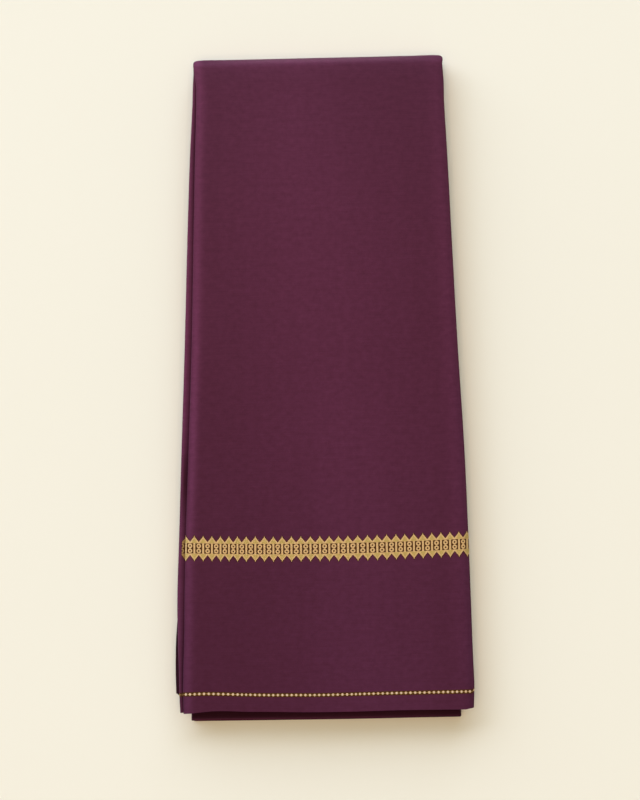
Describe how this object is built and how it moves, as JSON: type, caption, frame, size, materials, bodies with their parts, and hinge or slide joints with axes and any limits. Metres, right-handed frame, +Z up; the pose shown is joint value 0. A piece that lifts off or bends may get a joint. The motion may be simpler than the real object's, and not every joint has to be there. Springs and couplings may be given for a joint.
{
  "type": "folded saree",
  "caption": "Long woven saree pleated into a flat stack and doubled over once, border hems together at one end, as stored on a shelf.",
  "frame": {"origin": "centre of the footprint, on the surface the folded saree lies on", "axes": "+Y along the pack towards its doubled-over end, +X across it, +Z up through the layers"},
  "size_m": [0.2557, 0.589, 0.02],
  "materials": {
    "field_cloth": "matt plum silk-cotton with a faint sheen",
    "second_cloth": "matt plum silk-cotton with a faint sheen",
    "third_cloth": "matt plum silk-cotton with a faint sheen",
    "inner_cloth": "matt plum silk-cotton with a faint sheen",
    "zari": "woven gold metal thread, satin"
  },
  "bodies": {
    "root": {"outer_leaf": "field_cloth", "second_leaf": "second_cloth", "third_leaf": "third_cloth", "inner_layers": "inner_cloth"}
  },
  "joints": []
}
